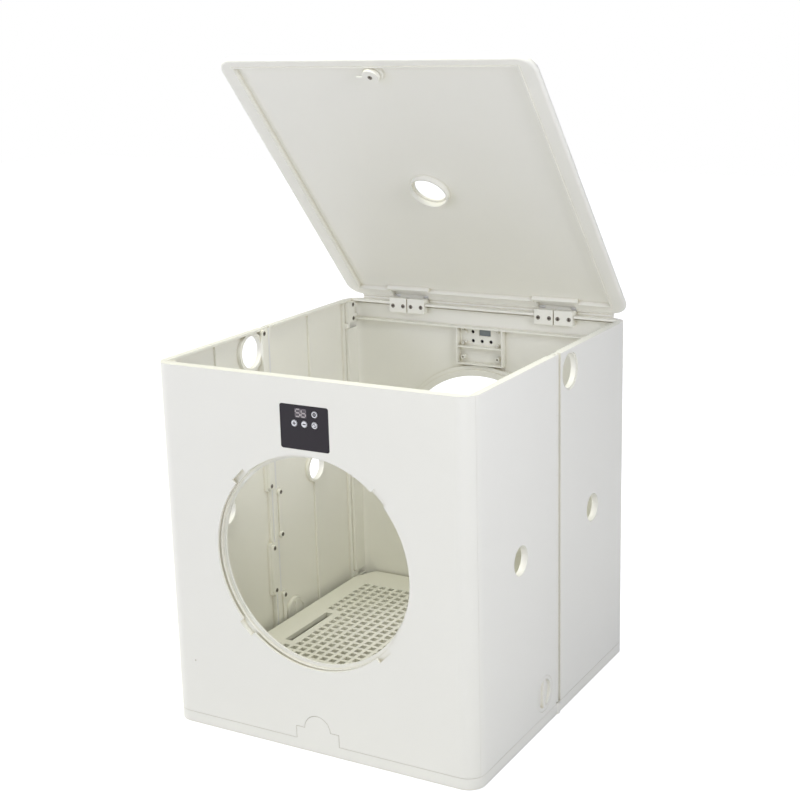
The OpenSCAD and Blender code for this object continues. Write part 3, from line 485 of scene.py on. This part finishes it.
def screw_heads(node):
    """Centre of each screw head's face and the direction it faces, for a node of screws. The
    points that touch one another are one screw; its axis is their longest direction, and the
    head is at the end where the points lie furthest from that axis."""
    mesh = merged(node)
    points = np.empty(len(mesh.vertices) * 3)
    mesh.vertices.foreach_get("co", points)
    points = points.reshape(-1, 3)
    ends = np.empty(len(mesh.edges) * 2, int)
    mesh.edges.foreach_get("vertices", ends)
    ends = ends.reshape(-1, 2)
    bpy.data.meshes.remove(mesh)
    group = np.arange(len(points))
    while True:
        least = group.copy()
        lower = np.minimum(group[ends[:, 0]], group[ends[:, 1]])
        np.minimum.at(least, ends[:, 0], lower)
        np.minimum.at(least, ends[:, 1], lower)
        if (least == group).all():
            break
        group = least
    heads = []
    for key in np.unique(group):
        own = points[group == key]
        centre = (own.min(0) + own.max(0)) / 2
        axis = np.linalg.svd(own - own.mean(0), full_matrices=False)[2][0]
        along = (own - centre) @ axis
        away = np.linalg.norm(own - centre - along[:, None] * axis, axis=1)
        wide = away > away.max() * 0.95
        if along[wide].mean() < 0:
            axis, along = -axis, -along
        rim = own[wide]
        face = (rim.min(0) + rim.max(0)) / 2
        face = face + axis * (along.max() - (face - centre) @ axis)
        heads.append((face, axis, away.max()))
    return heads


def on_head(shape, head):
    """Carries a flat shape made about the origin, facing -Y, onto a screw head's face."""
    centre, axis, _ = head
    points, faces = shape
    turn = Vector((0, -1, 0)).rotation_difference(Vector(axis)).to_matrix()
    return points @ np.array(turn).T + centre, faces


# ---------- settings ----------

class CabinSettings(bpy.types.PropertyGroup):
    """Colours and sizes of the cabin's finish"""
    shell: FloatVectorProperty(
        name="Shell", description="Colour of the walls, lid and tray", subtype="COLOR",
        default=rgb(247, 246, 237)[:3], min=0.0, max=1.0)
    grate: FloatVectorProperty(
        name="Grate", description="Colour of the floor grate", subtype="COLOR",
        default=rgb(247, 246, 234)[:3], min=0.0, max=1.0)
    film: FloatVectorProperty(
        name="Label", description="Colour of the control label", subtype="COLOR",
        default=rgb(30, 24, 31)[:3], min=0.0, max=1.0)
    edge: FloatProperty(
        name="Edge", description="Radius that the mould leaves on an edge", subtype="DISTANCE",
        unit="LENGTH", default=0.4 * MM, min=0.05 * MM, max=0.6 * MM)
    print_depth: FloatProperty(
        name="Print", description="Height of the printed marks above the label",
        subtype="DISTANCE", unit="LENGTH", default=0.04 * MM, min=0.01 * MM, max=0.1 * MM)


def settings():
    """The scene's cabin settings."""
    return bpy.context.scene.pet_cabin


# ---------- operators ----------

# Wide mouldings, by the start of their names; their edges, and the lid's, are rounded in the
# finish and not in the mesh
LARGE = ("front_panel", "rear_panel", "side_", "base_tray")


def nodes_of(slot):
    """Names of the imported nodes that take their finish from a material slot."""
    return [part["node"] for part in frame["record"]["subparts"]
            if part["material_slot"] == slot]


class PETCABIN_OT_shell(bpy.types.Operator):
    """Finish the walls, the lid, the tray and the grate, and round what is moulded small"""
    bl_idname = "petcabin.shell"
    bl_label = "Shell"

    def execute(self, context):
        s = settings()
        shell = tuple(s.shell) + (1.0,)
        wall = moulded_plastic("shell_wall", shell, 0.42, 0.25, s.edge)
        small = moulded_plastic("shell_white", shell, 0.42, 0.25)
        grate = moulded_plastic("grate_ivory", tuple(s.grate) + (1.0,), 0.45, 0.3, s.edge)
        for node in nodes_of("shell_white"):
            if node.startswith(LARGE) or node == "lid":
                paint(node, wall)
            else:
                soften(node, s.edge, small)
        for node in nodes_of("grate_ivory"):
            paint(node, grate)
        return {"FINISHED"}


def hinge_cover(x0, x1, axis, lid_floor, opened):
    """Points and faces of the web and half shell that close the lid's pocket behind a hinge
    arm. The closed profile, an arc of radius 3 mm to 3.6 mm round the hinge axis with a web up
    to the lid's skin, is carried along X from x0 to x1, then turned about the axis."""
    inner = np.radians(np.linspace(112, 35, 14))
    outer = np.radians(np.linspace(35, 98, 12))
    profile = np.concatenate([
        [(-4.6, 0), (-4.6, 3.35), (-2.2, 3.1)],
        3.0 * np.stack([np.cos(inner), np.sin(inner)], 1),
        3.6 * np.stack([np.cos(outer), np.sin(outer)], 1),
        [(-2.0, 4.0), (-3.1, 4.6), (-3.1, 0)]]) * MM
    profile[[0, -1], 1] = lid_floor - axis[1]
    turn = np.array([[math.cos(opened), math.sin(opened)],
                     [-math.sin(opened), math.cos(opened)]])
    profile = profile @ turn.T + axis
    n = len(profile)
    x = np.repeat([x0, x1], n)
    points = np.c_[x, np.tile(profile, (2, 1))]
    faces = [list(q) for q in grid_faces(2, n, wrap_columns=True)]
    return points, faces + [list(range(n)), list(range(2 * n - 1, n - 1, -1))]


class PETCABIN_OT_hinge_covers(bpy.types.Operator):
    """Close the lid's pockets behind the hinge arms"""
    bl_idname = "petcabin.hinge_covers"
    bl_label = "Hinge covers"

    def execute(self, context):
        joint = next(j for j in frame["joints"] if j["name"] == "lid_hinge")
        axis = np.array(joint["pos_m"][1:])
        opened = math.radians(-joint["range_deg"][0])
        top = high("lid_hinge_block_left_inner")[2] + 1.2 * MM
        shapes = []
        for side in ("left", "right"):
            inner, outer = (f"lid_hinge_block_{side}_{end}" for end in ("inner", "outer"))
            x0 = min(low(inner)[0], low(outer)[0])
            x1 = max(high(inner)[0], high(outer)[0])
            for start, end in ((x0 - 0.5 * MM, x0 + 9.4 * MM), (x1 - 9.4 * MM, x1 + 0.5 * MM)):
                shapes.append(hinge_cover(start, end, axis, top, opened))
        shell = bpy.data.materials["shell_white"]
        facing_out(new_piece("hinge_covers", *joined(shapes), "lid", "shell_white", shell,
                             smooth=30))
        return {"FINISHED"}


class PETCABIN_OT_seam_strips(bpy.types.Operator):
    """Close the slots beside the folding seams of the side walls"""
    bl_idname = "petcabin.seam_strips"
    bl_label = "Seam strips"

    def execute(self, context):
        shapes = []
        for side, out in (("left", -1), ("right", 1)):
            plates = "hinge_plates_" + side
            face = (low(plates) if out < 0 else high(plates))[0]
            x0, x1 = sorted((face + out * STRIP_GAP, face + out * (STRIP_GAP + STRIP_THICK)))
            for front in (-STRIP_FROM - STRIP_WIDTH, STRIP_FROM):
                shapes.append(slab(x0, x1, low(plates)[2], high(plates)[2], front, STRIP_WIDTH))
        shell = bpy.data.materials["shell_white"]
        facing_out(new_piece("seam_strips", *joined(shapes), "hood", "shell_white", shell))
        return {"FINISHED"}


class PETCABIN_OT_metal(bpy.types.Operator):
    """Finish the screws and pins, and paint shade on each screw head: a dark cross in its recess
    and a dark ring round its seat
    """
    bl_idname = "petcabin.metal"
    bl_label = "Screws and pins"

    def execute(self, context):
        steel = zinc_steel()
        for node in nodes_of("zinc_steel"):
            paint(node, steel)
        # Painted shade: a dark brown cross stands for the shade down in each head's recess, and a
        # mid brown ring for the shade in the gap round its seat
        recess = painted_screw_shade("recess_brown", rgb(52, 45, 42))
        skirt = painted_screw_shade("skirt_brown", rgb(112, 101, 88))
        for node in nodes_of("zinc_steel"):
            if not node.endswith(("screws", "screw")):
                continue
            heads = screw_heads(node)
            radius = heads[0][2]
            reach, arm = CROSS_REACH * radius, CROSS_ARM * radius
            cross = joined([slab(-reach, reach, -arm, arm, -0.03 * MM, 0.02 * MM),
                            slab(-arm, arm, -reach, reach, -0.05 * MM, 0.02 * MM)])
            ring = stroke(arc(0, 0, SEAT_SHADE_RADIUS * radius, 0, 360, 24), SEAT_SHADE_WIDTH * radius,
                          -0.04 * MM, 0.03 * MM, closed=True)
            body = NODES[node]["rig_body"]
            for kind, shape, material in (("recess", cross, recess), ("skirt", ring, skirt)):
                marks = joined([on_head(shape, head) for head in heads])
                facing_out(new_piece(node + "_" + kind, *marks, body, "zinc_steel", material))
        return {"FINISHED"}


def digit(x, z, width, height, lit, front, depth):
    """Strokes of a seven-segment digit about (x, z) that leans a little to the right; lit says
    which of top, upper left, upper right, middle, lower left, lower right and bottom show."""
    w, h, gap = width / 2, height / 2, width * 0.12
    ends = [((-w + gap, h), (w - gap, h)), ((-w, gap), (-w, h - gap)), ((w, gap), (w, h - gap)),
            ((-w + gap, 0), (w - gap, 0)), ((-w, -h + gap), (-w, -gap)),
            ((w, -h + gap), (w, -gap)), ((-w + gap, -h), (w - gap, -h))]
    shapes = []
    for (start, end), shown in zip(ends, lit):
        if shown:
            path = np.linspace(start, end, 3)
            path[:, 0] += path[:, 1] * DIGIT_LEAN
            shapes.append(stroke(path + [x, z], width * 0.25, front, depth))
    return joined(shapes)


class PETCABIN_OT_controls(bpy.types.Operator):
    """Finish the label, the keys, the display and the board, and print their marks"""
    bl_idname = "petcabin.controls"
    bl_label = "Controls"

    def execute(self, context):
        s = settings()
        film = label_film()
        for node in nodes_of("label_black"):
            if node == "front_label":
                soften(node, FILM_EDGE, film)
            else:
                paint(node, film)
        white = ink("key_white", rgb(240, 240, 242))
        for node in nodes_of("key_white"):
            paint(node, white)
        board = solder_mask()
        for node in nodes_of("board_green"):
            paint(node, board)

        face = low("front_label")[1] - s.print_depth
        depth = s.print_depth
        dark = ink("mark_dark", rgb(40, 34, 41))
        self.display(face, depth)

        x, _, z = middle("button_plus")
        plus = joined([
            slab(x - PLUS_REACH, x + PLUS_REACH, z - PLUS_ARM, z + PLUS_ARM, face, depth),
            slab(x - PLUS_ARM, x + PLUS_ARM, z - PLUS_REACH, z + PLUS_REACH, face - depth / 4,
                 depth)])
        x, _, z = middle("button_minus")
        minus = slab(x - MINUS_REACH, x + MINUS_REACH, z - MINUS_ARM, z + MINUS_ARM, face, depth)
        x, _, z = middle("button_timer")
        timer = joined([
            stroke(arc(x, z, TIMER_RADIUS, 60, 200), TIMER_LINE, face, depth),
            stroke(arc(x, z, TIMER_RADIUS, 240, 380), TIMER_LINE, face, depth),
            stroke([(x - 0.3 * MM, z + 1.2 * MM), (x, z), (x + 1.1 * MM, z - 0.7 * MM)],
                   0.6 * MM, face, depth)])
        x, _, z = middle("button_power")
        well = disc(x, z, POWER_WELL, face, depth)
        for node, shape in (("button_plus", plus), ("button_minus", minus),
                            ("button_timer", timer), ("button_power", well)):
            facing_out(new_piece(node + "_mark", *shape, NODES[node]["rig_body"], "label_black",
                                 dark))
        for node in nodes_of("key_white"):
            x, _, z = middle(node)
            rim = stroke(arc(x, z, RIM_RADIUS, 0, 360), RIM_WIDTH, face, depth, closed=True)
            facing_out(new_piece(node + "_rim", *rim, NODES[node]["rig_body"], "label_black",
                                 film))
        x, _, z = middle("button_power")
        flag = stroke([(x - 0.6 * MM, z), (x, z), (x + 1.3 * MM, z)], 1.5 * MM,
                      face - depth, depth)
        points = flag[0].reshape(3, 4, 3)
        points[:, :, 2] = z + (points[:, :, 2] - z) * np.array([1, 0.6, 0.1])[:, None]
        facing_out(new_piece("button_power_flag", points.reshape(-1, 3), flag[1],
                             NODES["button_power"]["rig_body"], "key_white", white))
        self.rear_window()
        return {"FINISHED"}

    def display(self, face, depth):
        """Two dim seven-segment digits behind the film."""
        x, _, z = middle("display_module")
        pale = ink("segment_lit", rgb(186, 178, 178))
        dim = ink("segment_dim", rgb(112, 104, 108))
        haze = ink("display_haze", rgb(84, 77, 83))
        back = slab(x - FIELD_HALF_WIDTH, x + FIELD_HALF_WIDTH, z - FIELD_HALF_HEIGHT,
                    z + FIELD_HALF_HEIGHT, face + 0.6 * depth, depth)
        facing_out(new_piece("display_haze", *back, "hood", "label_black", haze))
        for side, lit in ((-1, (1, 1, 0, 1, 0, 1, 1)), (1, (0, 1, 0, 1, 1, 1, 1))):
            name = "display_left" if side < 0 else "display_right"
            at = x + side * DIGIT_OFFSET
            shown = digit(at, z, DIGIT_WIDTH, DIGIT_HEIGHT, lit, face, depth)
            rest = digit(at, z, DIGIT_WIDTH, DIGIT_HEIGHT, [1 - k for k in lit],
                         face + 0.2 * depth, depth)
            facing_out(new_piece(name + "_lit", *shown, "hood", "label_black", pale))
            facing_out(new_piece(name + "_dim", *rest, "hood", "label_black", dim))

    def rear_window(self):
        """Smoked pane behind the rear housing's window."""
        x, _, z = middle("rear_label")
        front = low("rear_label")[1] - PANE_PROUD
        pane = slab(x + PANE_X[0], x + PANE_X[1], z + PANE_Z[0], z + PANE_Z[1], front, PANE_THICK)
        facing_out(new_piece("rear_window", *pane, "hood", "label_black", smoked_window()))


class PETCABIN_OT_stage(bpy.types.Operator):
    """Make the floor, the lights and the camera"""
    bl_idname = "petcabin.stage"
    bl_label = "Stage"

    def execute(self, context):
        make_floor()
        make_world()
        make_lamps()
        make_camera()
        context.scene.view_settings.view_transform = "Standard"
        return {"FINISHED"}


def seen_white(f, shader, strength):
    """Adds a plain white of the given strength where a camera, mirror or glass ray lands."""
    seen = f.seen_by("Is Camera Ray", "Is Glossy Ray", "Is Transmission Ray")
    glow = f.node("ShaderNodeEmission", {}, {"Color": (1, 1, 1, 1), "Strength": seen * strength})
    return f.node("ShaderNodeAddShader", {}, {0: shader, 1: glow})


def make_floor():
    """Large pale floor under the tray."""
    half = FLOOR_HALF
    mesh = bpy.data.meshes.new("floor")
    mesh.from_pydata([(-half, -half, 0), (half, -half, 0), (half, half, 0), (-half, half, 0)],
                     [], [(0, 1, 2, 3)])
    floor = bpy.data.objects.new("floor", mesh)
    bpy.context.scene.collection.objects.link(floor)
    f = Finish("floor_paper")
    paper = f.node("ShaderNodeBsdfDiffuse", {}, {"Color": (FLOOR_TONE,) * 3 + (1,)})
    away = f.node("ShaderNodeVectorMath", {"operation": "LENGTH"}, {0: f.place()}, out=1)
    glow = away.to_range(*FLOOR_FADE) * (1 - FLOOR_GLOW) + FLOOR_GLOW
    f.output("ShaderNodeOutputMaterial", seen_white(f, paper, glow))
    mesh.materials.append(f.material)
    floor.location.z = -FLOOR_DROP


def make_world():
    """Even pale surround that lights the object softly and is seen as white."""
    world = bpy.data.worlds.new("surround")
    bpy.context.scene.world = world
    world.use_nodes = True
    g = Graph(world.node_tree)
    soft = g.node("ShaderNodeBackground", {}, {
        "Color": SURROUND_COLOUR, "Strength": SURROUND_STRENGTH})
    white = g.node("ShaderNodeBackground", {}, {"Color": (1, 1, 1, 1), "Strength": 1.0})
    seen = g.seen_by("Is Camera Ray", "Is Transmission Ray")
    g.output("ShaderNodeOutputWorld", g.node("ShaderNodeMixShader", {}, {
        0: seen, 1: soft, 2: white}))


def lamp(name, place, target, size, power, colour):
    """Square area lamp at place that shines at target."""
    data = bpy.data.lights.new(name, "AREA")
    data.shape = "RECTANGLE"
    data.size, data.size_y = size
    data.energy = power
    data.color = colour
    made = bpy.data.objects.new(name, data)
    bpy.context.scene.collection.objects.link(made)
    made.location = place
    made.rotation_euler = (Vector(target) - Vector(place)).to_track_quat("-Z", "Y").to_euler()


def make_lamps():
    """Soft boxes: from the left, from above, low behind the camera, close to the right side,
    near the front, over the open top and behind."""
    aim = (0, 0, 0.3)
    lamp("left_box", (-2.6, -0.4, 1.5), aim, (1.6, 1.6), 25, (1.0, 1.0, 1.0))
    lamp("top_box", (-1.5, -0.5, 2.4), (0, 0, 0.4), (1.2, 1.2), 11, (1.0, 0.95, 0.75))
    lamp("eye_box", (0.95, -1.75, 0.55), aim, (0.6, 0.6), 5.6, (1.0, 0.99, 1.0))
    lamp("right_box", (1.0, -0.45, 0.9), (0.2, -0.15, 0.3), (0.4, 0.4), 4.2, (0.9, 0.9, 1.0))
    lamp("near_box", (-1.2, -1.6, 0.8), (0, 0, 0.4), (0.9, 0.9), 8.4, (0.8, 0.8, 1.0))
    lamp("well_box", (0, -0.3, 1.25), (0, -0.02, 0.1), (0.25, 0.25), 3.2, (1.0, 1.0, 0.85))
    lamp("rear_box", (0, 2.6, 2.2), aim, (1.6, 1.6), 28, (0.85, 0.8, 1.0))


def make_camera():
    """Camera at eye height to the front right, looking slightly down on the open cabin."""
    yaw, pitch, roll = map(math.radians, (CAMERA_YAW, CAMERA_PITCH, CAMERA_ROLL))
    ahead = Vector((math.sin(yaw) * math.cos(pitch), math.cos(yaw) * math.cos(pitch),
                    -math.sin(pitch)))
    level = Vector((math.cos(yaw), -math.sin(yaw), 0))
    down = ahead.cross(level)
    right = math.cos(roll) * level + math.sin(roll) * down
    up = math.sin(roll) * level - math.cos(roll) * down
    data = bpy.data.cameras.new("camera")
    data.sensor_width = CAMERA_SENSOR
    data.lens = CAMERA_LENS
    camera = bpy.data.objects.new("camera", data)
    bpy.context.scene.collection.objects.link(camera)
    turn = Matrix((right, up, -ahead)).transposed().to_4x4()
    camera.matrix_world = Matrix.Translation(CAMERA_PLACE) @ turn
    bpy.context.scene.camera = camera


class PETCABIN_PT_panel(bpy.types.Panel):
    """Lists the cabin's operators"""
    bl_idname = "PETCABIN_PT_panel"
    bl_label = "Pet cabin"
    bl_space_type = "VIEW_3D"
    bl_region_type = "UI"
    bl_category = "Pet cabin"

    def draw(self, context):
        for name in ("shell", "grate", "film", "edge", "print_depth"):
            self.layout.prop(context.scene.pet_cabin, name)
        for operator in OPERATORS:
            self.layout.operator(operator.bl_idname)


OPERATORS = (PETCABIN_OT_shell, PETCABIN_OT_hinge_covers, PETCABIN_OT_seam_strips,
             PETCABIN_OT_metal, PETCABIN_OT_controls, PETCABIN_OT_stage)
CLASSES = (CabinSettings,) + OPERATORS + (PETCABIN_PT_panel,)


def register():
    """Adds the classes and the scene's settings."""
    for cls in CLASSES:
        bpy.utils.register_class(cls)
    bpy.types.Scene.pet_cabin = PointerProperty(type=CabinSettings)


def unregister():
    """Takes away what register added."""
    del bpy.types.Scene.pet_cabin
    for cls in reversed(CLASSES):
        bpy.utils.unregister_class(cls)


def main():
    """Builds every piece."""
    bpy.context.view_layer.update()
    register()
    bpy.ops.petcabin.shell()
    bpy.ops.petcabin.hinge_covers()
    bpy.ops.petcabin.seam_strips()
    bpy.ops.petcabin.metal()
    bpy.ops.petcabin.controls()
    bpy.ops.petcabin.stage()


if __name__ == "__main__":
    main()
